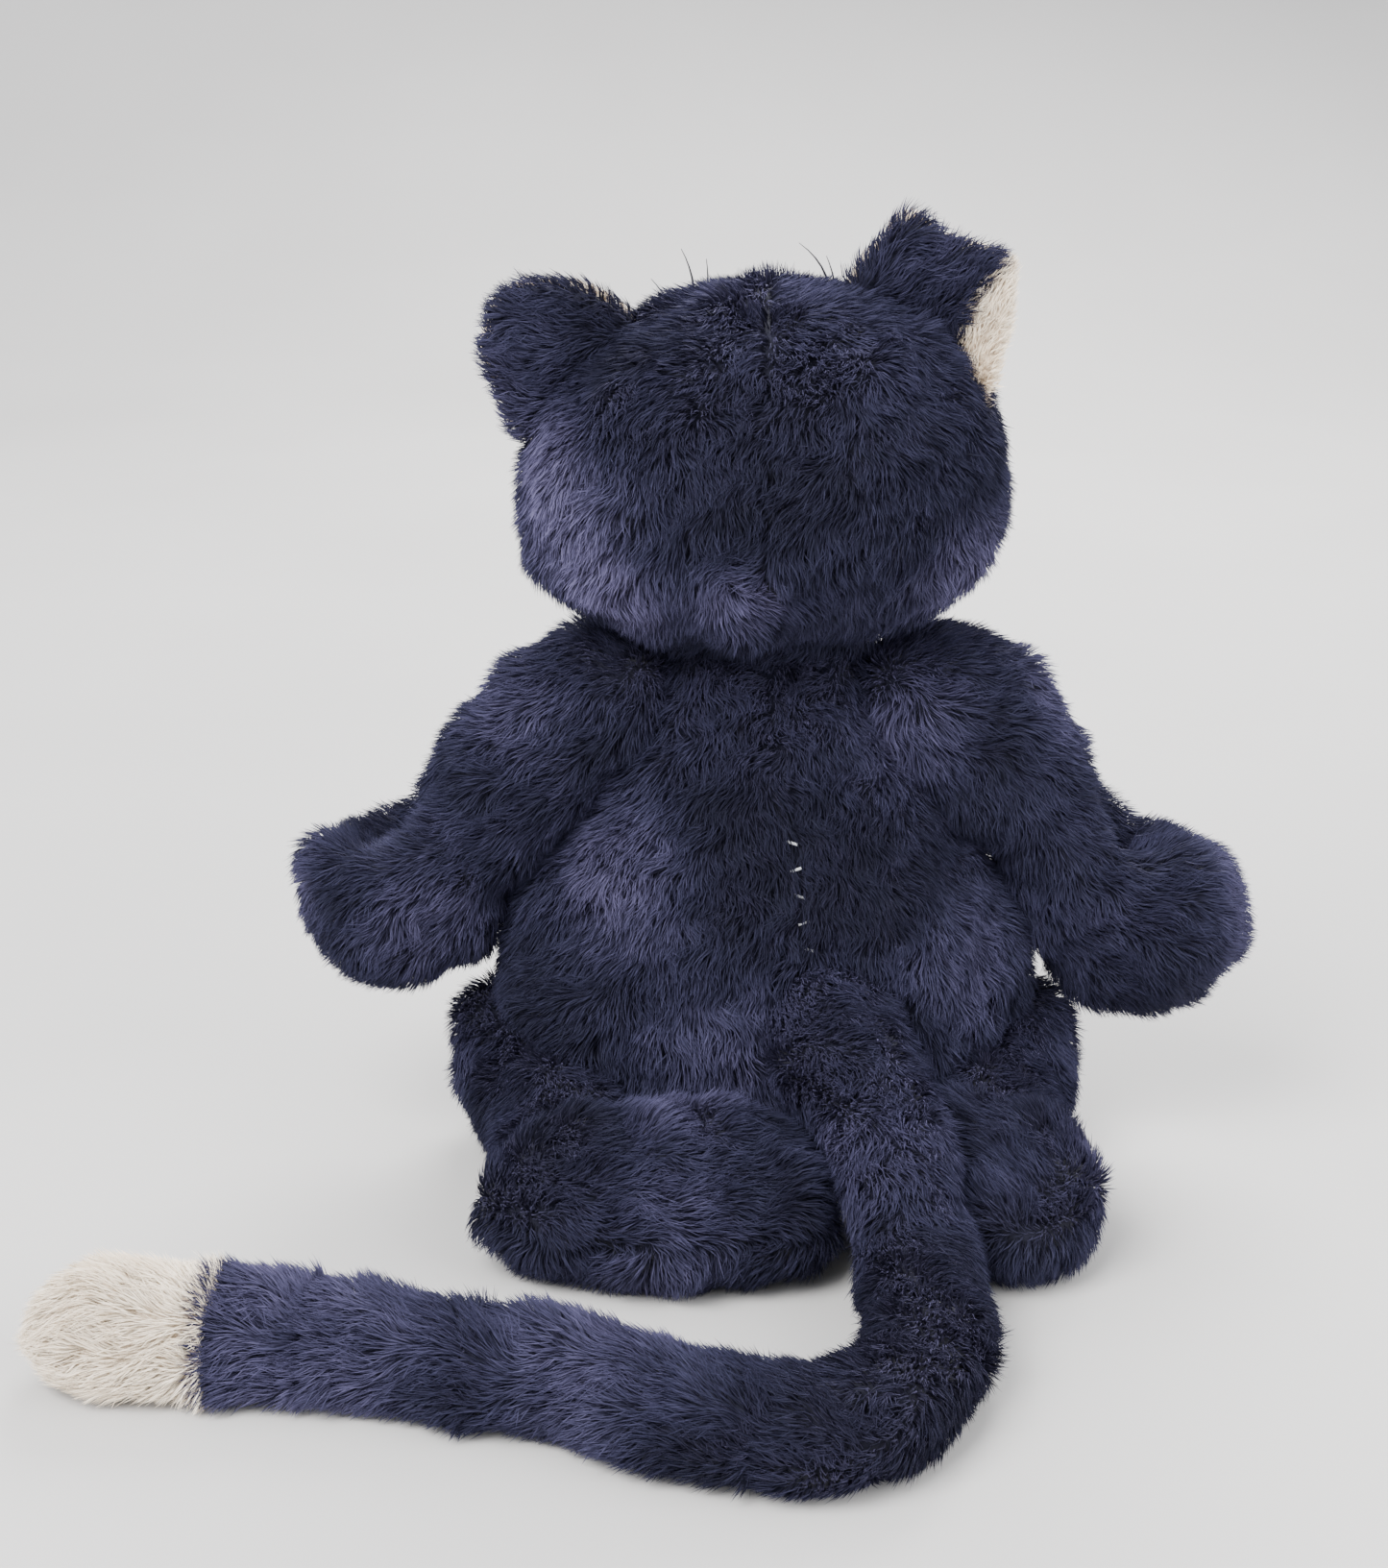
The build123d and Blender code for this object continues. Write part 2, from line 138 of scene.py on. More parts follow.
def outer_shell(thing):
    """Keeps only the largest connected surface of a mesh."""
    points, corners, _ = triangles(thing)
    label = np.arange(len(points))
    while True:
        lowest = label.copy()
        for a, b in ((0, 1), (1, 2), (2, 0)):
            np.minimum.at(lowest, corners[:, a], label[corners[:, b]])
            np.minimum.at(lowest, corners[:, b], label[corners[:, a]])
        lowest = lowest[lowest]
        if (lowest == label).all():
            break
        label = lowest
    names, counts = np.unique(label, return_counts=True)
    kept = np.flatnonzero(label == names[counts.argmax()])
    order = np.full(len(points), -1)
    order[kept] = np.arange(len(kept))
    faces = order[corners]
    faces = faces[(faces >= 0).all(1)]
    name = thing.name
    bpy.data.objects.remove(thing)
    return mesh_object(name, points[kept], faces)


def ripple(points, wavelength, seed):
    """Smooth noise in space, from about -1 to 1, whose bumps are about a wavelength apart."""
    rng = np.random.default_rng(seed)
    total = np.zeros(len(points))
    for _ in range(6):
        way = unit(rng.normal(size=3)) * 2 * math.pi / (wavelength * rng.uniform(0.8, 1.4))
        total += np.sin(points @ way + rng.uniform(0, 2 * math.pi))
    return total / 2.4


def plump(thing, cap, frames=20):
    """Lets a skin swell like filled fabric by cloth simulation, moving no point further than cap."""
    start, _, _ = triangles(thing)
    cloth = thing.modifiers.new("fill", "CLOTH")
    cloth.settings.use_pressure = True
    cloth.settings.uniform_pressure_force = 4.0
    cloth.settings.quality = 4
    cloth.settings.effector_weights.gravity = 0.0
    cloth.point_cache.frame_start, cloth.point_cache.frame_end = 1, frames
    for number in range(1, frames + 1):
        bpy.context.scene.frame_set(number)
    settle(thing)
    bpy.context.scene.frame_set(1)
    end, _, _ = triangles(thing)
    move = end - start
    far = np.linalg.norm(move, axis=1, keepdims=True)
    thing.data.vertices.foreach_set("co", (start + move * np.minimum(1, cap / np.maximum(far, 1e-9))).ravel())
    thing.data.update()


def lump(thing, height, wavelength, seed):
    """Uneven filling: moves a skin's points in and out along their normals, and rests it on the floor."""
    points, _, normals = triangles(thing)
    points += normals * (ripple(points, wavelength, seed) * height)[:, None]
    points[:, 2] = np.maximum(points[:, 2], FLOOR_GAP)
    thing.data.vertices.foreach_set("co", points.ravel())
    thing.data.update()


def falloff(distance, near, far):
    """1 nearer than near, 0 beyond far, and smooth between."""
    t = np.clip((far - distance) / (far - near), 0, 1)
    return t * t * (3 - 2 * t)


def blocker(skin):
    """A skin as something that pile can press against: its search tree and its box."""
    points, corners, _ = triangles(skin)
    return BVHTree.FromPolygons(points.tolist(), corners.tolist()), points.min(0), points.max(0)


def clear_filling(thing, nodes, gap=0.7 * MM):
    """Pushes a skin out where it would sink into the filling under it."""
    points, _, _ = triangles(thing)
    for node in nodes:
        tree, low, high = blocker(frame["nodes"][node])
        for i in np.flatnonzero(((points > low - gap) & (points < high + gap)).all(1)):
            spot, normal, _, _ = tree.find_nearest(Vector(points[i]))
            spot, normal = np.array(spot), np.array(normal)
            if (points[i] - spot) @ normal < gap:
                points[i] = spot + normal * gap
    thing.data.vertices.foreach_set("co", points.ravel())
    thing.data.update()


def shape(thing, *pushes):
    """Sculpts a skin: each push is (centre in mm, reach in mm, move in mm), fading smoothly out at its reach."""
    points, _, _ = triangles(thing)
    for centre, reach, move in pushes:
        away = np.linalg.norm(points - np.array(centre) * MM, axis=1)
        points += (falloff(away, 0.0, reach * MM)[:, None]) * np.array(move) * MM
    points[:, 2] = np.maximum(points[:, 2], FLOOR_GAP)
    thing.data.vertices.foreach_set("co", points.ravel())
    thing.data.update()


def skin_of(name, nodes, relax, lumps, seed, voxel=3.5 * MM, swell=0.0, pushes=()):
    """A fabric backing over CAD solids: their outer surface, remeshed, relaxed and filled out."""
    points, faces, start = [], [], 0
    for node in nodes:
        p, f, _ = triangles(frame["nodes"][node])
        points.append(p)
        faces.append(f + start)
        start += len(p)
    skin = mesh_object(name, np.concatenate(points), np.concatenate(faces))
    remesh = skin.modifiers.new("remesh", "REMESH")
    remesh.mode, remesh.voxel_size = "VOXEL", voxel
    skin = outer_shell(settle(skin))
    smooth = skin.modifiers.new("relax", "SMOOTH")
    smooth.factor, smooth.iterations = 0.5, relax
    settle(skin)
    shape(skin, *pushes)
    if swell:
        plump(skin, swell)
    lump(skin, lumps, 26 * MM, seed)
    # An arm's pushes press its filling in as well, so its skin isn't held outside it
    clear_filling(skin, [node for node in nodes if node.endswith("stuffing") and "arm" not in node])
    return skin


# ---------------------------------------------------------------- materials
def new_material(name, roughness, sheen=0.0, specular=0.5, coat=0.0):
    """A Principled material, its shader and its node tree."""
    material = bpy.data.materials.new(name)
    material.use_nodes = True
    shader = material.node_tree.nodes["Principled BSDF"]
    shader.inputs["Roughness"].default_value = roughness
    shader.inputs["Sheen Weight"].default_value = sheen
    shader.inputs["Specular IOR Level"].default_value = specular
    shader.inputs["Coat Weight"].default_value = coat
    return material, shader, material.node_tree


def noise_node(tree, scale, detail=3.0):
    """A noise texture in the object's own coordinates."""
    place = tree.nodes.new("ShaderNodeTexCoord")
    noise = tree.nodes.new("ShaderNodeTexNoise")
    noise.inputs["Scale"].default_value = scale
    noise.inputs["Detail"].default_value = detail
    tree.links.new(place.outputs["Object"], noise.inputs["Vector"])
    return noise.outputs["Fac"]


def ramp_node(tree, fac, stops):
    """A colour ramp through (place, colour) stops."""
    ramp = tree.nodes.new("ShaderNodeValToRGB")
    while len(ramp.color_ramp.elements) < len(stops):
        ramp.color_ramp.elements.new(0.5)
    for element, (place, colour) in zip(ramp.color_ramp.elements, stops):
        element.position, element.color = place, (*colour, 1.0)
    tree.links.new(fac, ramp.inputs["Fac"])
    return ramp.outputs["Color"]


def mix_node(tree, kind, fac, a, b):
    """A colour mix; fac is a number or a socket."""
    mix = tree.nodes.new("ShaderNodeMix")
    mix.data_type, mix.blend_type = "RGBA", kind
    if isinstance(fac, float):
        mix.inputs["Factor"].default_value = fac
    else:
        tree.links.new(fac, mix.inputs["Factor"])
    for socket, value in ((mix.inputs[6], a), (mix.inputs[7], b)):
        if isinstance(value, tuple):
            socket.default_value = (*value, 1.0)
        else:
            tree.links.new(value, socket)
    return mix.outputs[2]


def attribute_node(tree, name):
    """A mesh attribute's number."""
    node = tree.nodes.new("ShaderNodeAttribute")
    node.attribute_name = name
    return node.outputs["Fac"]


def bump_node(tree, shader, height, distance, strength=0.5):
    """Feeds a height into the shader's normal."""
    bump = tree.nodes.new("ShaderNodeBump")
    bump.inputs["Distance"].default_value = distance
    bump.inputs["Strength"].default_value = strength
    tree.links.new(height, bump.inputs["Height"])
    tree.links.new(bump.outputs["Normal"], shader.inputs["Normal"])


def fur_material(name, depth, painted_sheen_colours, sheen, tint):
    """Pile: depth paints shade, darker from tip down to root, and the colour stops after it paint sheen and shade at
    the tips, from dark where the pile stands up to pale where it lies over.
    """
    material, shader, tree = new_material(name, roughness=0.8, sheen=sheen, specular=0.15)
    shader.inputs["Sheen Tint"].default_value = (*tint, 1.0)
    # Painted shade: each tuft darker towards its root
    along = ramp_node(tree, attribute_node(tree, "pile"), [(place, (value,) * 3) for place, value in depth])
    # Painted sheen and shade at the tips, from how the pile lies, mixed with colour that varies at random from tuft
    # to tuft
    tuft = ramp_node(tree, attribute_node(tree, "tone_and_sheen"), painted_sheen_colours)
    patches = ramp_node(tree, noise_node(tree, 22.0), ((0.35, (0.88,) * 3), (0.65, (1.0,) * 3)))
    colour = mix_node(tree, "MULTIPLY", 1.0, mix_node(tree, "MULTIPLY", 1.0, along, tuft), patches)
    tree.links.new(colour, shader.inputs["Base Color"])
    return material


def cloth_material(name, dark, light, weave=1400.0):
    """A knitted backing or woven cloth: two close tones and a fine raised weave."""
    material, shader, tree = new_material(name, roughness=0.9, sheen=0.2, specular=0.2)
    colour = ramp_node(tree, noise_node(tree, 60.0), ((0.3, dark), (0.7, light)))
    tree.links.new(colour, shader.inputs["Base Color"])
    bump_node(tree, shader, noise_node(tree, weave, 1.0), 0.3 * MM)
    return material


def plastic_material(name, dark, light, roughness, coat=0.0):
    """Moulded plastic with a faint cloudiness."""
    material, shader, tree = new_material(name, roughness, coat=coat)
    colour = ramp_node(tree, noise_node(tree, 180.0), ((0.3, dark), (0.7, light)))
    tree.links.new(colour, shader.inputs["Base Color"])
    return material


def iris_material(centre):
    """A glossy moulded eye: a black pupil, an amber ring and a dark rim, by distance from its middle."""
    material, shader, tree = new_material("eye_plastic", 0.08, coat=0.6)
    place = tree.nodes.new("ShaderNodeTexCoord")
    off = tree.nodes.new("ShaderNodeVectorMath")
    off.operation = "SUBTRACT"
    off.inputs[1].default_value = centre
    tree.links.new(place.outputs["Object"], off.inputs[0])
    flat = tree.nodes.new("ShaderNodeVectorMath")
    flat.operation = "MULTIPLY"
    flat.inputs[1].default_value = (1.0, 0.0, 1.0)
    tree.links.new(off.outputs[0], flat.inputs[0])
    length = tree.nodes.new("ShaderNodeVectorMath")
    length.operation = "LENGTH"
    tree.links.new(flat.outputs[0], length.inputs[0])
    scale = tree.nodes.new("ShaderNodeMath")
    scale.operation = "MULTIPLY"
    scale.inputs[1].default_value = 100.0
    tree.links.new(length.outputs["Value"], scale.inputs[0])
    black, amber, brown = (0.004, 0.004, 0.004), (0.42, 0.19, 0.03), (0.10, 0.04, 0.01)
    stops = ((0.0, black), (0.33, black), (0.37, brown), (0.5, amber), (0.6, brown), (0.66, black))
    tree.links.new(ramp_node(tree, scale.outputs[0], stops), shader.inputs["Base Color"])
    return material


NAVY_FUR = fur_material(
    "navy_pile",
    # Painted shade: darker towards the roots
    ((0.0, 0.26), (0.5, 0.52), (1.0, 1.0)),
    # Painted sheen and shade: tip colours from dark where the pile stands up to pale purple where it lies over
    (
        (0.0, (0.0062, 0.0068, 0.0175)), (0.185, (0.0098, 0.0104, 0.026)), (0.4, (0.0235, 0.0238, 0.0535)),
        (0.62, (0.048, 0.0455, 0.095)), (0.85, (0.093, 0.085, 0.166)), (1.0, (0.12, 0.108, 0.207)),
    ),
    0.12, (0.55, 0.5, 0.95),
)
CREAM_FUR = fur_material(
    "cream_pile",
    # Painted shade: a little darker towards the roots
    ((0.0, 0.72), (0.5, 0.88), (1.0, 1.0)),
    # Painted sheen and shade: tip colours from where the pile stands up to where it lies over
    ((0.0, (0.93, 0.79, 0.62)), (0.5, (0.97, 0.86, 0.71)), (1.0, (0.99, 0.91, 0.79))),
    0.1, (1.0, 0.95, 0.85),
)
NAVY_CLOTH = cloth_material("navy_backing", (0.0035, 0.0035, 0.009), (0.008, 0.008, 0.022))
CREAM_CLOTH = cloth_material("cream_backing", (0.42, 0.33, 0.24), (0.56, 0.46, 0.36))
PLAIN = {
    "stuffing": cloth_material("polyester_filling", (0.78, 0.78, 0.76), (0.9, 0.9, 0.88), 500.0),
    "bag_cloth": cloth_material("bag_cloth", (0.62, 0.6, 0.55), (0.74, 0.72, 0.68)),
    "pellets": plastic_material("pellet_plastic", (0.78, 0.78, 0.75), (0.9, 0.9, 0.87), 0.4),
    "nose_plastic": plastic_material("nose_plastic", (0.02, 0.012, 0.014), (0.035, 0.022, 0.024), 0.28, 0.3),
    "washer_plastic": plastic_material("washer_plastic", (0.7, 0.7, 0.68), (0.82, 0.82, 0.8), 0.45),
    "whisker_nylon": plastic_material("whisker_nylon", (0.012, 0.012, 0.018), (0.03, 0.03, 0.04), 0.35),
    "pale_thread": cloth_material("pale_thread", (0.42, 0.43, 0.46), (0.6, 0.6, 0.62), 3000.0),
    "dark_thread": cloth_material("dark_thread", (0.02, 0.014, 0.014), (0.04, 0.03, 0.03), 3000.0),
}
COATS = {"navy_plush": (NAVY_FUR, NAVY_CLOTH), "cream_plush": (CREAM_FUR, CREAM_CLOTH)}


def paint(thing, material):
    """Gives an object one material."""
    thing.data.materials.clear()
    thing.data.materials.append(material)


# ---------------------------------------------------------------- pile
def tangent(field, normals):
    """A field of directions laid flat on the surface."""
    return unit(field - normals * (field * normals).sum(1, keepdims=True))


def room_above(points, normals, reach, others):
    """How far each point sees along its normal before it meets another skin, up to reach."""
    room = np.full(len(points), reach)
    for tree, low, high in others:
        near = ((points > low - reach) & (points < high + reach)).all(1)
        for i in np.flatnonzero(near):
            hit = tree.ray_cast(Vector(points[i]), Vector(normals[i]), reach)
            if hit[0] is not None:
                room[i] = min(room[i], hit[3])
    return room


def painted_nap_sheen(points):
    """Painted sheen and shade: how pale the pile is painted where it lies over, and how dark where it stands: 0 is
    dark and 1 is palest.
    """
    total = 0.17 + 0.10 * ripple(points, 70 * MM, 5) + 0.06 * ripple(points, 22 * MM, 6)
    for centre, reach, amount in PAINTED_NAP_SHEEN:
        away = np.linalg.norm(points - np.array(centre) * MM, axis=1)
        total += amount * falloff(away, 0.3 * reach * MM, 1.3 * reach * MM)
    return np.clip((total + 0.25) / 1.35, 0, 1)


def grow(name, skin, flow, seed, length=PILE_LENGTH, keep=None, others=(), lift=0.68, width=TUFT_WIDTH,
         density=1.0, clump=0.34, shorten=None):
    """The pile on a skin, as tapered ribbons that stand out of it and lean along flow(points)."""
    rng = np.random.default_rng(seed)
    points, corners, normals = triangles(skin)
    a, b, c = (points[corners[:, k]] for k in range(3))
    area = np.linalg.norm(np.cross(b - a, c - a), axis=1) / 2
    number = int(area.sum() * 1e6 * TUFTS_PER_MM2 * density)
    face = rng.choice(len(area), number, p=area / area.sum())
    u, v = rng.random((2, number))
    fold = u + v > 1
    u[fold], v[fold] = 1 - u[fold], 1 - v[fold]
    share = np.stack([1 - u - v, u, v], 1)[..., None]
    roots = (points[corners[face]] * share).sum(1)
    out = unit((normals[corners[face]] * share).sum(1))
    if keep is not None:
        kept = keep(roots)
        roots, out = roots[kept], out[kept]
    number = len(roots)
    way = tangent(flow(roots), out)
    across = np.cross(out, way)
    swirl = 0.45 * ripple(roots, 55 * MM, 7) + 0.45 * ripple(roots, 14 * MM, 8) + rng.normal(0, 0.32, number)
    way = way * np.cos(swirl)[:, None] + across * np.sin(swirl)[:, None]
    tall = length * (1 + 0.10 * ripple(roots, 30 * MM, 9) + rng.normal(0, 0.10, number))
    if shorten is not None:
        tall = tall * shorten(roots)
    room = room_above(roots, out, float(length), others)
    rise = lift + 0.12 * ripple(roots, 16 * MM, 10) + rng.normal(0, 0.06, number)
    rise = np.clip(rise, 0.25, 0.95)
    tall *= 0.7 + 0.3 * np.clip(room / (tall * rise), 0, 1)
    rise = np.clip(rise, 0.1, np.maximum(0.1, room / tall))  # pressed flat under a neighbour
    bend = roots + (out * (0.30 + 0.25 * rise[:, None]) + way * 0.16) * tall[:, None]
    tips = roots + (out * rise[:, None] + way * np.sqrt(1 - rise**2)[:, None]) * tall[:, None]
    # Neighbouring tufts lean together into locks
    seeds = rng.choice(number, max(number // max(int(TUFTS_PER_MM2 * 5), 2), 1), replace=False)
    tree = KDTree(len(seeds))
    for k, i in enumerate(seeds):
        tree.insert(roots[i], k)
    tree.balance()
    lead = np.fromiter((seeds[tree.find(p)[1]] for p in roots), int, number)
    apart = np.linalg.norm(roots[lead] - roots, axis=1)
    pull = clump * np.clip(1 - apart / (2.4 * CLUMP_SPACING), 0, 1) * rng.uniform(0.5, 1.1, number)
    tips += (tips[lead] - tips) * pull[:, None]
    bend += (bend[lead] - bend) * (pull * 0.35)[:, None]
    roots = roots - out * 0.5 * MM
    rings = []
    for t in HAIR_SHAPE:
        rings.append(roots * (1 - t) ** 2 + bend * (2 * t * (1 - t)) + tips * t**2)
    line = unit(tips - roots)
    side = unit(np.cross(line, unit(rng.normal(size=(number, 3)))))
    half = width / 2 * rng.uniform(0.7, 1.25, number)[:, None]
    strips = [rings[0] - side * half, rings[0] + side * half]
    strips += [rings[1] - side * half * 0.85, rings[1] + side * half * 0.85, rings[2]]
    corner_rows = np.array([[0, 1, 3], [0, 3, 2], [2, 3, 4]])
    cloud = np.stack(strips, 1).reshape(-1, 3)
    cloud[:, 2] = np.maximum(cloud[:, 2], FLOOR_GAP / 2)
    faces = (corner_rows[None] + 5 * np.arange(number)[:, None, None]).reshape(-1, 3)
    fur = mesh_object(name, cloud, faces)
    pile = np.tile(np.repeat(HAIR_SHAPE, (2, 2, 1)), number)
    # Painted sheen and shade from how the pile lies, plus colour that varies at random from tuft to tuft
    tone_and_sheen = np.clip(painted_nap_sheen(roots) + 0.05 * ripple(roots, 9 * MM, 11) + rng.normal(0, 0.06, number), 0, 1)
    for label, values in (("pile", pile), ("tone_and_sheen", np.repeat(tone_and_sheen, 5))):
        attribute = fur.data.attributes.new(label, "FLOAT", "POINT")
        attribute.data.foreach_set("value", values.astype(np.float32))
    return fur


def dress(thing, body, slot, fur):
    """Puts a skin or its pile on a body, with its slot's material."""
    paint(thing, COATS[slot][0 if fur else 1])
    if body:
        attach(thing, body)


def cover(skin, body, slot, fill, *nodes):
    """Finishes a skin that stands for the CAD solids named."""
    dress(skin, body, slot, False)
    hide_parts(*nodes)


def toward(*stops):
    """A constant direction."""
    way = unit(np.array(stops, float))
    return lambda points: np.tile(way, (len(points), 1))


SEAM_TOP, SEAM_DROP = 195 * MM, 129 * MM  # the back seam's upper end, and how far down it runs
SEAM_SHIFT, SEAM_RUN = 20, 129  # how far it leans to the right over its run


def seam_side(points):
    """How far each point is to the left of the back seam, which leans towards the tail down the body."""
    return points[:, 0] + np.clip(SEAM_TOP - points[:, 2], 0, SEAM_DROP) * SEAM_SHIFT / SEAM_RUN


def parting(points, spread=4 * MM):
    """Pile leaning away from the seam up the middle of the back."""
    across = seam_side(points)
    lean = np.sign(across) * np.exp(-np.abs(across) / spread) * (points[:, 1] > 0)
    return lean[:, None] * np.array([1.0, 0.0, 0.0])


def seam_dip(points, depth=0.22):
    """Pile caught down into the seam up the middle of the back."""
    return 1 - depth * np.exp(-((seam_side(points) / (2.2 * MM)) ** 2)) * (points[:, 1] > 0)


# ---------------------------------------------------------------- skins
torso_skin = skin_of(
    "torso_skin",
    ["torso_stuffing", "torso_front", "torso_back_left", "torso_back_right", "seat_base"],
    relax=14, lumps=1.4 * MM, swell=3 * MM, seed=11,
    pushes=(
        ((36, 2, 184), 30, (0, 0, 12)), ((-36, 2, 184), 30, (0, 0, 12)), ((88, 0, 78), 36, (3, 0, 0)),
        ((-88, 0, 78), 36, (-6, 0, 0)), ((84, 0, 108), 30, (4, 0, 0)), ((-82, 0, 112), 30, (-4.5, 0, 0)),
    ),
)
neck_skin = skin_of(
    "neck_skin", ["neck_stuffing_plug"], voxel=2.5 * MM, relax=2, lumps=0.4 * MM, seed=12,
    pushes=(((30, 2, 206), 34, (20, 2, -5)), ((-30, 2, 206), 34, (-20, 2, -5))),
)
head_skin = skin_of(
    "head_skin",
    ["head_stuffing", "head_back_left", "head_back_right", "face_left", "face_right"],
    relax=10, lumps=1.2 * MM, swell=2.5 * MM, seed=13,
    pushes=(
        ((60, 5, 234), 46, (8, 0, -4)), ((-60, 5, 232), 46, (-8, 0, -6)), ((0, 0, 205), 50, (0, 0, -5)),
        ((-84, 0, 291), 34, (15, 0, -7)),
    ),
)
muzzle_skin = skin_of("muzzle_skin", ["muzzle_pad"], voxel=1.6 * MM, relax=4, lumps=0.3 * MM, seed=14)
cover(
    torso_skin, "torso", "navy_plush", 0.75,
    "torso_front", "torso_back_left", "torso_back_right", "seat_base", "torso_stuffing",
)
cover(neck_skin, "neck", "navy_plush", 0.8, "neck_stuffing_plug")
cover(
    head_skin, "head", "navy_plush", 0.85,
    "head_back_left", "head_back_right", "face_left", "face_right", "head_stuffing",
)
cover(muzzle_skin, "head", "cream_plush", 0.8, "muzzle_pad")
skins = {"torso": torso_skin, "neck": neck_skin, "head": head_skin}
EAR_PUSHES = {
    ("left", "ear_back"): (((106, 0, 298), 32, (-9, 0, 1)), ((84, 0, 330), 26, (0, 0, -5))),
    ("left", "ear_lining"): (((106, 0, 298), 32, (-9, 0, 1)), ((84, 0, 330), 26, (0, 0, -5))),
    ("right", "ear_back"): (((-70, 0, 354), 36, (4, 0, -10)), ((-86, 0, 312), 32, (15, 0, 3))),
    ("right", "ear_lining"): (
        ((-70, 0, 354), 36, (4, 0, -10)), ((-86, 0, 312), 30, (0, 12, -2)), ((-78, 0, 298), 24, (-3, 8, -14)),
        ((-86, 0, 288), 28, (10, 4, 0)),
    ),
}
ARM_PUSHES = {
    "left": (
        ((100, 0, 165), 34, (3, 0, 3)), ((92, 0, 192), 26, (5, 0, 7)), ((143, 0, 140), 32, (-17, 0, -20)),
        ((164, -4, 116), 24, (6, 0, 4)), ((104, 0, 82), 28, (-6, 0, -5)),
    ),
    "right": (
        ((-92, 0, 178), 34, (-6, 0, 5)), ((-92, 0, 194), 24, (-3, 0, 5)), ((-140, 0, 140), 34, (15, 0, -23)),
        ((-172, -4, 88), 26, (-4, 0, -2)), ((-130, 0, 60), 36, (14, 0, -9)), ((-104, 0, 88), 34, (9, 0, -8)),
        ((-154, 0, 60), 24, (-4, 0, -5)),
    ),
}
FOOT_PUSHES = {
    "left": (
        ((40, 128, 14), 74, (0, 19, 0)), ((88, 100, 20), 34, (10, 2, 0)), ((-10, 108, 20), 40, (-15, 12, 0)),
    ),
    "right": (((-80, 120, 14), 58, (0, 10, 0)), ((-108, 92, 20), 30, (-2, 4, 0))),
}
for k, (side, s) in enumerate(SIDES.items()):
    for part, slot in (("ear_back", "navy_plush"), ("ear_lining", "cream_plush")):
        skin = skin_of(
            f"{side}_{part}_skin", [f"{side}_{part}"], voxel=1.6 * MM, relax=3, lumps=0.4 * MM, seed=20 + k,
            pushes=EAR_PUSHES[side, part],
        )
        cover(skin, f"{side}_ear", slot, 0.4, f"{side}_{part}")
        skins[f"{side}_{part}"] = skin
    arm = skin_of(
        f"{side}_arm_skin", [f"{side}_arm_stuffing", f"{side}_arm_cover"], relax=10, lumps=1.3 * MM, swell=2.5 * MM,
        seed=30 + k, pushes=ARM_PUSHES[side],
    )
    cover(arm, f"{side}_arm", "navy_plush", 0.7, f"{side}_arm_cover", f"{side}_arm_stuffing")
    outward = 7 if side == "left" else 9
    leg = skin_of(
        f"{side}_leg_skin", [f"{side}_leg_stuffing", f"{side}_leg_cover"], relax=8, lumps=1.1 * MM, swell=2 * MM,
        seed=40 + k,
        pushes=(((s * 105, 0, 30), 42, (s * outward, 0, 2)), ((s * 100, -4, 56), 30, (s * 8, 0, 8))),
    )
    cover(leg, f"{side}_leg", "navy_plush", 0.7, f"{side}_leg_cover", f"{side}_leg_stuffing")
    foot = skin_of(
        f"{side}_foot_skin", [f"{side}_foot_stuffing", f"{side}_foot_cover", f"{side}_foot_sole"], relax=10,
        lumps=1.5 * MM, swell=2.5 * MM, seed=50 + k, pushes=FOOT_PUSHES[side],
    )
    cover(foot, f"{side}_leg", "navy_plush", 0.7, f"{side}_foot_cover", f"{side}_foot_sole", f"{side}_foot_stuffing")
    skins |= {f"{side}_arm": arm, f"{side}_leg": leg, f"{side}_foot": foot}

# ---------------------------------------------------------------- tail
TAIL_RADIUS = 15.8 * MM
TAIL_SEED = 60
SPAN_STEPS = 24  # points of the curve between two stops
TAIL_STOPS = (
    np.array(
        [
            (-22, 46, 70), (-24, 57, 66), (-42, 106, 48), (-48, 145, 19.8), (-49, 181, 16.2), (-36, 216, 16.2),
            (-12, 233, 16.2), (26, 224, 16.2), (60, 205, 16.2), (94, 196, 16.2), (125, 186, 16.2), (156, 180, 16.2),
            (177, 178.5, 16.8), (214, 176, 17.5),
        ]
    )
    * MM
)


def spline(stops):
    """A centripetal curve through stops, evenly spaced by length: its points and directions."""
    ends = np.vstack([2 * stops[0] - stops[1], stops, 2 * stops[-1] - stops[-2]])
    curve = []
    for i in range(1, len(ends) - 2):
        p0, p1, p2, p3 = ends[i - 1 : i + 3]
        for t in np.arange(SPAN_STEPS) / SPAN_STEPS:
            square, cube = 2 * p0 - 5 * p1 + 4 * p2 - p3, 3 * p1 - p0 - 3 * p2 + p3
            curve.append(0.5 * (2 * p1 + (p2 - p0) * t + square * t**2 + cube * t**3))
    curve = np.array(curve + [stops[-1]])
    run = np.concatenate([[0], np.cumsum(np.linalg.norm(np.diff(curve, axis=0), axis=1))])
    even = np.linspace(0, run[-1], int(run[-1] / (2.0 * MM)))
    line = np.stack([np.interp(even, run, curve[:, k]) for k in range(3)], 1)
    return line, unit(np.gradient(line, axis=0)), even


TAIL_LINE, TAIL_WAY, TAIL_RUN = spline(TAIL_STOPS)
ROOT_SWELL = 0.38 * falloff(TAIL_RUN, 10 * MM, 62 * MM)
TIP_SWELL = 0.14 * falloff(TAIL_RUN[-1] - TAIL_RUN, 30 * MM, 110 * MM)
TAIL_ROUND = TAIL_RADIUS * (1 + ROOT_SWELL + TIP_SWELL)
TAIL_TREE = KDTree(len(TAIL_LINE))
for i, p in enumerate(TAIL_LINE):
    TAIL_TREE.insert(p, i)
TAIL_TREE.balance()


def tail_place(stop):
    """How far along the tail a point is."""
    return int(np.linalg.norm(TAIL_LINE - np.array(stop) * MM, axis=1).argmin())


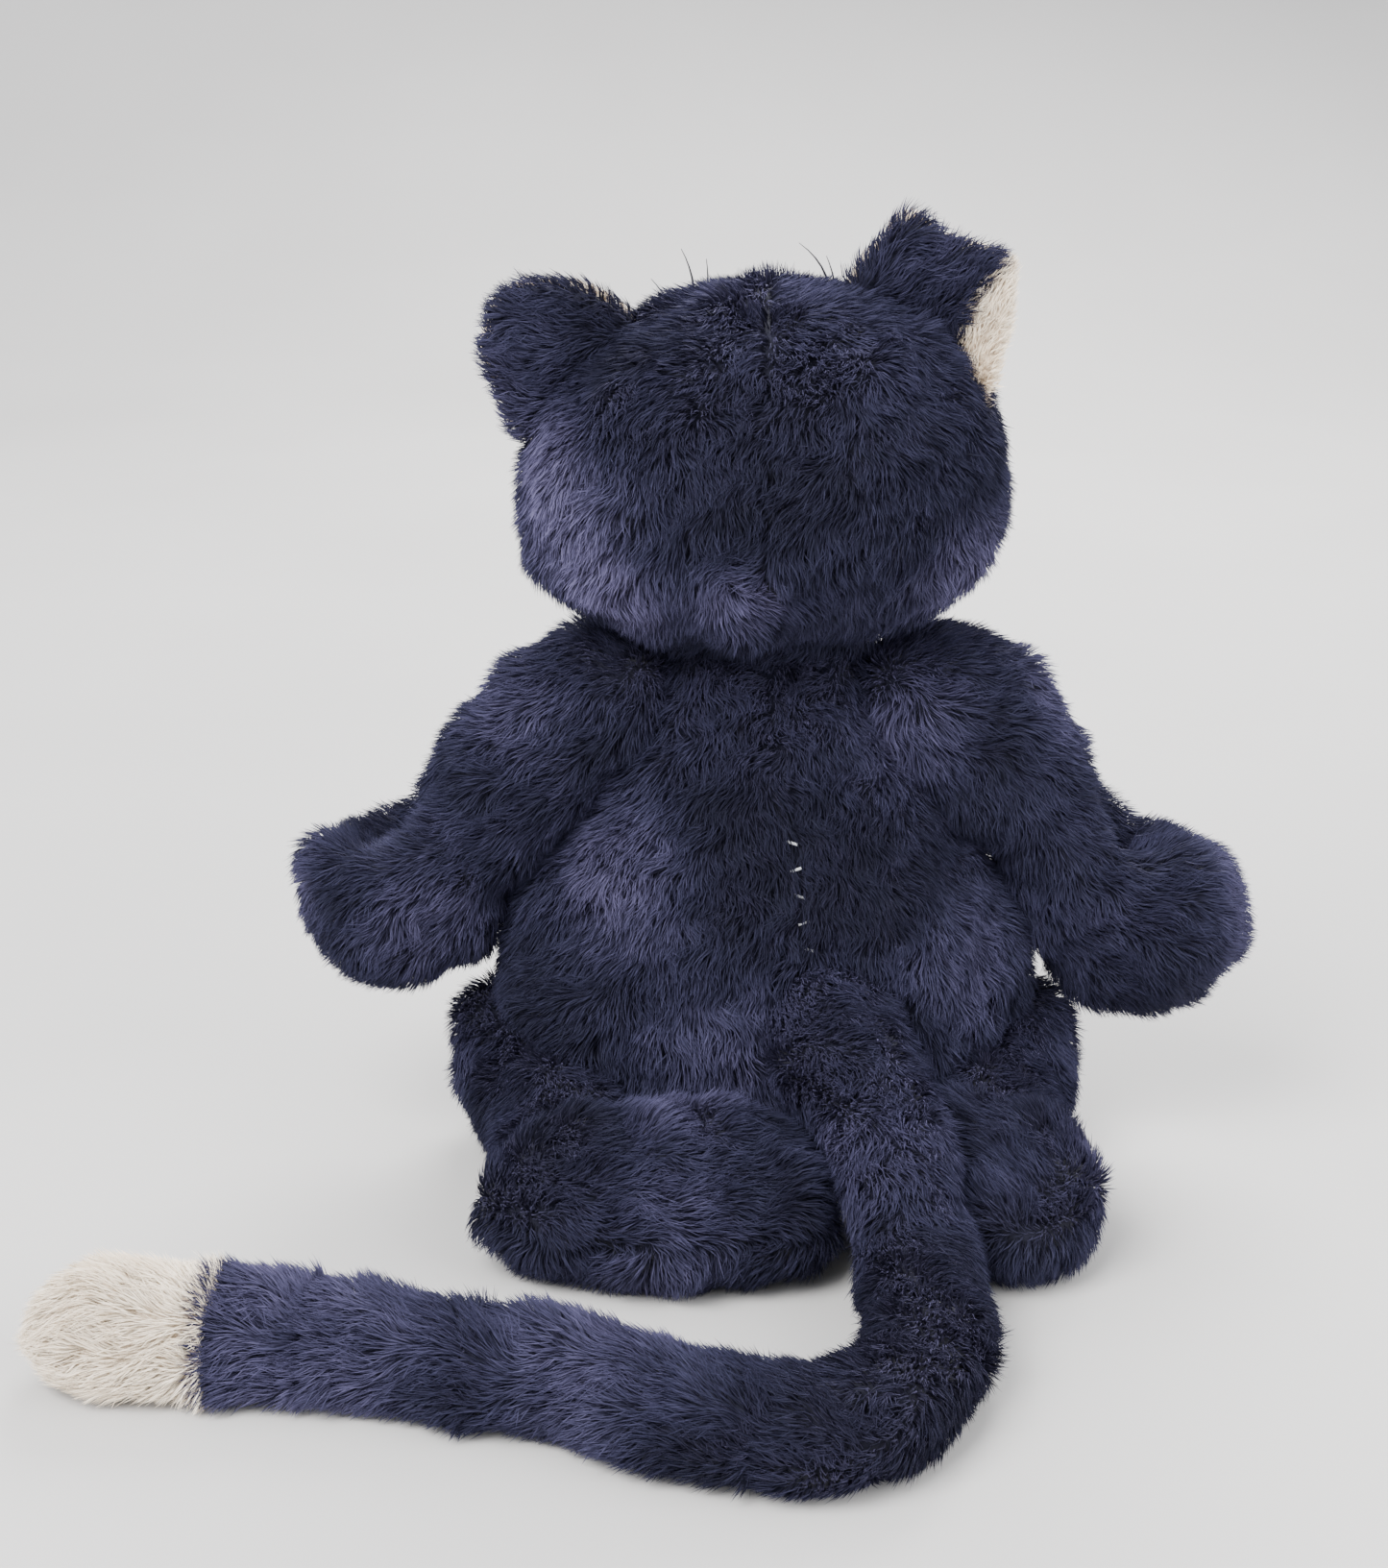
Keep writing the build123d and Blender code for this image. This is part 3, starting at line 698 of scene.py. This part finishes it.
def tail_tube(name, first, last, round_start, round_end):
    """The tail's backing between two places along its line, closed at both ends."""
    around = np.linspace(0, 2 * math.pi, 36, endpoint=False)
    rings = []
    for i in range(first, last + 1):
        way = TAIL_WAY[i]
        side = unit(np.cross(way, UP))
        over = np.cross(side, way)
        rings.append(TAIL_LINE[i] + TAIL_ROUND[i] * (np.cos(around)[:, None] * side + np.sin(around)[:, None] * over))
    for wanted, i, sign in ((round_start, first, -1), (round_end, last, 1)):
        way, side = TAIL_WAY[i], unit(np.cross(TAIL_WAY[i], UP))
        over = np.cross(side, way)
        caps = []
        for angle in np.radians((18, 36, 54, 70, 82) if wanted else (0,)):
            size = TAIL_ROUND[i] * (math.cos(angle) if wanted else 0.5)
            push = sign * TAIL_ROUND[i] * (math.sin(angle) if wanted else 0.0)
            circle = np.cos(around)[:, None] * side + np.sin(around)[:, None] * over
            caps.append(TAIL_LINE[i] + way * push + size * circle)
        rings = rings + caps if sign > 0 else caps[::-1] + rings
    points = np.concatenate(rings)
    n, m = len(rings), len(around)
    quads = [
        (a * m + b, a * m + (b + 1) % m, (a + 1) * m + (b + 1) % m, (a + 1) * m + b)
        for a in range(n - 1) for b in range(m)
    ]
    faces = np.array([t for a, b, c, d in quads for t in ((a, c, b), (a, d, c))])
    start, end = len(points), len(points) + 1
    points = np.vstack([points, rings[0].mean(0), rings[-1].mean(0)])
    last_ring = (n - 1) * m
    fans = [(start, (b + 1) % m, b) for b in range(m)]
    fans += [(end, last_ring + b, last_ring + (b + 1) % m) for b in range(m)]
    tube = mesh_object(name, points, np.vstack([faces, np.array(fans)]))
    lump(tube, 0.7 * MM, 24 * MM, TAIL_SEED)
    filling = [node for node in frame["nodes"] if node.startswith("tail") and node.endswith("stuffing")]
    clear_filling(tube, filling, 0.4 * MM)
    return tube


def tail_flow(points):
    """Towards the tip."""
    return TAIL_WAY[np.fromiter((TAIL_TREE.find(p)[1] for p in points), int, len(points))]


CUTS = [
    0, tail_place((-42, 106, 48)), tail_place((-49, 181, 16)), tail_place((6, 231, 16)), tail_place((94, 196, 16)),
    tail_place((146, 182, 16)), tail_place((178.5, 178.5, 16)), len(TAIL_LINE) - 1,
]
TAIL_PARTS = (
    ("tail_base", "tail_root", None, None, "tail_root_cover"),
    ("tail_bend", "tail_root", "tail_1", "tail_sweep", "tail_1_cover"),
    ("tail_curl_a", "tail_1", "tail_2", "tail_curl_1", "tail_2_cover"),
    ("tail_curl_b", "tail_2", "tail_3", "tail_curl_2", "tail_3_cover"),
    ("tail_curl_c", "tail_3", "tail_4", "tail_curl_3", "tail_4_cover"),
    ("tail_end", "tail_4", None, None, None),
    ("tail_tip", "tail_4", None, None, "tail_tip_cover"),
)


def on_the_outside(points):
    """Which points are on the tail's outside, and not on the flat ends where two lengths meet."""
    return np.fromiter((TAIL_TREE.find(p)[2] for p in points), float, len(points)) > 0.85 * TAIL_RADIUS


def hang_tail(thing, body, joint):
    """Puts a length of the tail on its body; one that spans a joint is baked where it lies and left on no body."""
    if joint is None:
        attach(thing, body)
        return
    i = int(np.linalg.norm(TAIL_LINE - JOINTS[joint], axis=1).argmin())
    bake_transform(thing)


for k, (part, body, next_body, joint, node) in enumerate(TAIL_PARTS):
    slot = "cream_plush" if part == "tail_tip" else "navy_plush"
    skin = tail_tube(f"{part}_skin", CUTS[k], CUTS[k + 1], round_start=k == 0, round_end=k == 6)
    dress(skin, None, slot, False)
    hang_tail(skin, body, joint)
    if node:
        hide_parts(node, node.replace("cover", "stuffing"))
    skins[part] = skin

# ---------------------------------------------------------------- pile on each piece
BLOCKERS = {name: blocker(skin) for name, skin in skins.items()}


def near(*names):
    """The skins that a piece's pile can press against."""
    return [BLOCKERS[name] for name in names]


def torso_flow(points):
    """Down the body, outward under it, and away from the seam up the back."""
    outward = points * np.array([1.0, 1.0, 0.0])
    low = falloff(points[:, 2], 6 * MM, 24 * MM)[:, None]
    return -UP * (1 - 0.8 * low) + unit(outward) * (0.22 + 0.5 * low) + 0.4 * parting(points)


def flat_below(points):
    """Short pile where the toy sits on it."""
    return 0.35 + 0.65 * (1 - falloff(points[:, 2], 2 * MM, 9 * MM))


TORSO_NEAR = near(
    "neck", "head", "left_arm", "right_arm", "left_leg", "right_leg", "left_foot", "right_foot", "tail_base"
)
SIDE_SEAM, SEAT_SEAM = -3 * MM, 5 * MM  # where the front panel and the seat panel end
TORSO_PANELS = {
    "front": lambda p: (p[:, 1] < SIDE_SEAM) & (p[:, 2] > SEAT_SEAM),
    "back_left": lambda p: (p[:, 1] >= SIDE_SEAM) & (p[:, 0] >= 0) & (p[:, 2] > SEAT_SEAM),
    "back_right": lambda p: (p[:, 1] >= SIDE_SEAM) & (p[:, 0] < 0) & (p[:, 2] > SEAT_SEAM),
    "seat": lambda p: p[:, 2] <= SEAT_SEAM,
}
for k, (panel, keep) in enumerate(TORSO_PANELS.items()):
    fur = grow(
        f"torso_{panel}_pile", torso_skin, torso_flow, 100 + k, keep=keep, others=TORSO_NEAR,
        length=3.5 * MM if panel == "seat" else PILE_LENGTH, density={"seat": 0.4, "front": 0.85}.get(panel, 1.0),
        shorten=lambda p: seam_dip(p) * flat_below(p), lift=0.67,
    )
    dress(fur, "torso", "navy_plush", True)

fur = grow("neck_pile", neck_skin, toward(0, 0, -1), 110, length=9 * MM, others=near("torso", "head"))
dress(fur, "neck", "navy_plush", True)

NOSE = np.array(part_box("nose")).mean(0)
EYES = [np.array(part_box(f"{side}_eye")).mean(0) for side in SIDES]
WHORL = np.array([12.0, 48.0, 232.0]) * MM


def head_flow(points):
    """Away from the nose over the face, then down the back of the head to a whorl near its bottom."""
    behind = (1 - falloff(points[:, 1], -18 * MM, 14 * MM))[:, None]
    away = unit(points - NOSE)
    spun = np.cross(UP * 0.25 + BACK, points - WHORL)
    whorl = falloff(np.linalg.norm(points - WHORL, axis=1), 6 * MM, 26 * MM)[:, None]
    return away * (1 - behind) - UP * behind + 1.6 * unit(spun) * whorl + 0.35 * parting(points)


def face_trim(points):
    """Shorter pile round the eyes, the nose and the muzzle."""
    trim = np.ones(len(points))
    for eye in EYES:
        trim = np.minimum(trim, 1 - 0.8 * falloff(np.linalg.norm(points - eye, axis=1), 9 * MM, 22 * MM))
    trim = np.minimum(trim, 1 - 0.6 * falloff(np.linalg.norm(points - NOSE, axis=1), 20 * MM, 48 * MM))
    return trim * seam_dip(points, 0.16)


def off_the_eyes(points):
    """Which points are clear of the eyes."""
    return np.min([np.linalg.norm(points - eye, axis=1) for eye in EYES], axis=0) > 7.5 * MM


HEAD_NEAR = near("neck", "torso", "left_ear_back", "right_ear_back", "left_ear_lining", "right_ear_lining")
HEAD_NEAR += [blocker(muzzle_skin)]
HEAD_PANELS = {
    "back_left": lambda p: (p[:, 1] >= 0) & (p[:, 0] >= 0),
    "back_right": lambda p: (p[:, 1] >= 0) & (p[:, 0] < 0),
    "face": lambda p: (p[:, 1] < 0) & off_the_eyes(p),
}
for k, (panel, keep) in enumerate(HEAD_PANELS.items()):
    fur = grow(
        f"head_{panel}_pile", head_skin, head_flow, 120 + k, keep=keep, others=HEAD_NEAR, shorten=face_trim, lift=0.67
    )
    dress(fur, "head", "navy_plush", True)
fur = grow(
    "muzzle_pile", muzzle_skin, lambda p: p - NOSE, 130, length=4 * MM, lift=0.4, width=0.6 * MM, density=1.4,
    keep=lambda p: np.linalg.norm(p - NOSE, axis=1) > 8 * MM,
)
dress(fur, "head", "cream_plush", True)

HEAD_MIDDLE = np.array([0, 0, 262 * MM])  # ears point away from here
SOLE_SEAM = 24 * MM  # how high the seam between a foot's sole and its upper runs


def foot_flow(sign):
    """Nap along the foot to its toe above the sole's seam, and down and out below it."""

    def flow(points):
        below = falloff(points[:, 2], SOLE_SEAM - 3 * MM, SOLE_SEAM + 3 * MM)[:, None]
        swirl = ripple(points, 26 * MM, 12)[:, None]
        upper = np.array([-0.8 * sign, 0.1, 0.15])
        lower = np.array([0.25 * sign, 0.25, -0.9])
        return upper * (1 - below) + lower * below + swirl * np.array([0.5, 0.0, 0.2]) * below

    return flow


def foot_trim(points):
    """Shorter pile under the foot, and pile caught down into the sole's seam."""
    return flat_below(points) * (1 - 0.4 * np.exp(-(((points[:, 2] - SOLE_SEAM) / (2 * MM)) ** 2)))


for k, (side, s) in enumerate(SIDES.items()):
    shoulder = JOINTS[f"{side}_shoulder_lift"]
    across = "right" if side == "left" else "left"
    arm, leg, foot = (skins[f"{side}_{part}"] for part in ("arm", "leg", "foot"))
    for part, slot, length in (("ear_back", "navy_plush", 8.5 * MM), ("ear_lining", "cream_plush", 5.5 * MM)):
        skin = skins[f"{side}_{part}"]
        other = "ear_lining" if part == "ear_back" else "ear_back"
        up = JOINTS[f"{side}_ear_fold"] - HEAD_MIDDLE
        fur = grow(
            f"{side}_{part}_pile", skin, toward(*up), 140 + 10 * k + len(part), length=length, lift=0.5,
            others=near("head", f"{side}_{other}"), density=1.2,
        )
        dress(fur, f"{side}_ear", slot, True)
    points, _, _ = triangles(arm)
    paw = points[np.abs(points[:, 0]) > np.abs(points[:, 0]).max() - 14 * MM].mean(0)
    fur = grow(
        f"{side}_arm_pile", arm, toward(*(paw - shoulder)), 160 + 10 * k, lift=0.67,
        others=near("torso", "head", "neck"),
    )
    dress(fur, f"{side}_arm", "navy_plush", True)
    fur = grow(
        f"{side}_leg_pile", leg, toward(0.15 * s, 0.75, -0.5), 180 + 10 * k, lift=0.64, shorten=flat_below,
        others=near("torso", f"{side}_foot"),
    )
    dress(fur, f"{side}_leg", "navy_plush", True)
    fur = grow(
        f"{side}_foot_pile", foot, foot_flow(s), 200 + 10 * k, lift=0.64, shorten=foot_trim,
        others=near("torso", f"{side}_leg", "tail_base", f"{across}_foot"),
    )
    dress(fur, f"{side}_leg", "navy_plush", True)

for k, (part, body, next_body, joint, node) in enumerate(TAIL_PARTS):
    slot = "cream_plush" if part == "tail_tip" else "navy_plush"
    fur = grow(
        f"{part}_pile", skins[part], tail_flow, 300 + 10 * k, lift=0.6, keep=on_the_outside, shorten=flat_below,
        others=near("torso", "left_foot", "right_foot") if k < 2 else near("left_foot", "right_foot"),
    )
    dress(fur, None, slot, True)
    hang_tail(fur, body, joint)


def bristles(name, curves, radius):
    """Stiff hairs: each runs from its first point to its last, bending by the middle one, and tapers to its tip."""
    points, faces = [], []
    for curve in curves:
        p0, p1, p2 = np.array(curve) * MM
        for k, t in enumerate(np.linspace(0, 1, 9)):
            way = unit((1 - t) * (p1 - p0) + t * (p2 - p1))
            side = unit(np.cross(way, BACK + 0.3 * UP))
            over = np.cross(side, way)
            size = radius * (1 - 0.85 * t)
            middle = (1 - t) ** 2 * p0 + 2 * t * (1 - t) * p1 + t**2 * p2
            for a in np.radians((0, 90, 180, 270)):
                points.append(middle + size * (math.cos(a) * side + math.sin(a) * over))
        start = len(points) - 36
        for k in range(8):
            for a in range(4):
                b = (a + 1) % 4
                faces.append([start + 4 * k + a, start + 4 * k + b, start + 4 * k + 4 + b, start + 4 * k + 4 + a])
    return mesh_object(name, np.array(points), faces)


brows = bristles(
    "brow_bristles",
    (
        ((26, -40, 303), (23, -36, 321), (30, -30, 334)), ((24, -41, 302), (19, -38, 317), (21, -34, 330)),
        ((29, -40, 301), (33, -40, 314), (41, -42, 322)), ((-24, -41, 307), (-26, -36, 326), (-12, -30, 336)),
        ((-26, -41, 306), (-27, -38, 320), (-22, -34, 331)), ((-29, -40, 305), (-35, -40, 317), (-45, -42, 325)),
    ),
    0.75 * MM,
)
paint(brows, PLAIN["whisker_nylon"])
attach(brows, "head")
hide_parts("brow_whiskers")

# ---------------------------------------------------------------- materials of the CAD pieces that show or lie within
SLOT_OF = {part["node"]: part["material_slot"] for part in frame["record"]["subparts"]}
for node, thing in frame["nodes"].items():
    slot = SLOT_OF[node]
    if slot == "eye_plastic":
        paint(thing, iris_material(tuple(np.array(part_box(node)).mean(0))))
    elif slot in PLAIN:
        paint(thing, PLAIN[slot])
    else:
        paint(thing, COATS[slot][1])

# ---------------------------------------------------------------- table, light and camera
SWEEP_RADIUS = 1.2  # the curve by which the table turns up into the backdrop
sweep = [(4.0, 0.0)]
sweep += [(-1.6 - SWEEP_RADIUS * math.sin(a), SWEEP_RADIUS * (1 - math.cos(a))) for a in np.radians(range(0, 91, 6))]
sweep += [(-2.8, 5.0)]
rows = np.array([[(-6.0, y, z), (6.0, y, z)] for y, z in sweep]).reshape(-1, 3)
floor = mesh_object("floor", rows, [[2 * i, 2 * i + 1, 2 * i + 3, 2 * i + 2] for i in range(len(sweep) - 1)])
surface, shader, tree = new_material("pale_table", 0.7)
colour = ramp_node(tree, noise_node(tree, 3.0), ((0.3, (0.47, 0.46, 0.45)), (0.7, (0.50, 0.49, 0.48))))
tree.links.new(colour, shader.inputs["Base Color"])
paint(floor, surface)


def lamp(name, place, aim, power, size, tint=(1.0, 1.0, 1.0)):
    """A soft square studio light."""
    data = bpy.data.lights.new(name, "AREA")
    data.energy, data.size, data.color = power, size, tint
    thing = bpy.data.objects.new(name, data)
    bpy.context.scene.collection.objects.link(thing)
    thing.location = place
    thing.rotation_euler = (Vector(aim) - Vector(place)).to_track_quat("-Z", "Y").to_euler()


lamp("key_light", (0.9, 1.2, 1.7), (0.0, 0.1, 0.1), 114.0, 1.2)
lamp("fill_light", (-1.4, 0.9, 0.9), (0.0, 0.0, 0.12), 44.0, 1.4)
lamp("back_light", (-0.3, -1.6, 1.5), (0.0, 0.0, 0.15), 87.0, 1.3)
world = bpy.data.worlds.new("studio")
world.use_nodes = True
world.node_tree.nodes["Background"].inputs["Color"].default_value = (0.93, 0.95, 1.0, 1.0)
world.node_tree.nodes["Background"].inputs["Strength"].default_value = 1.5
bpy.context.scene.world = world

camera = bpy.data.objects.new("camera", bpy.data.cameras.new("camera"))
bpy.context.scene.collection.objects.link(camera)
camera.location = (0.0254, 0.915, 0.439)
camera.rotation_euler = (math.radians(72.1), 0.0, math.pi)
camera.data.lens, camera.data.sensor_width = 60.09, 36.0
bpy.context.scene.camera = camera
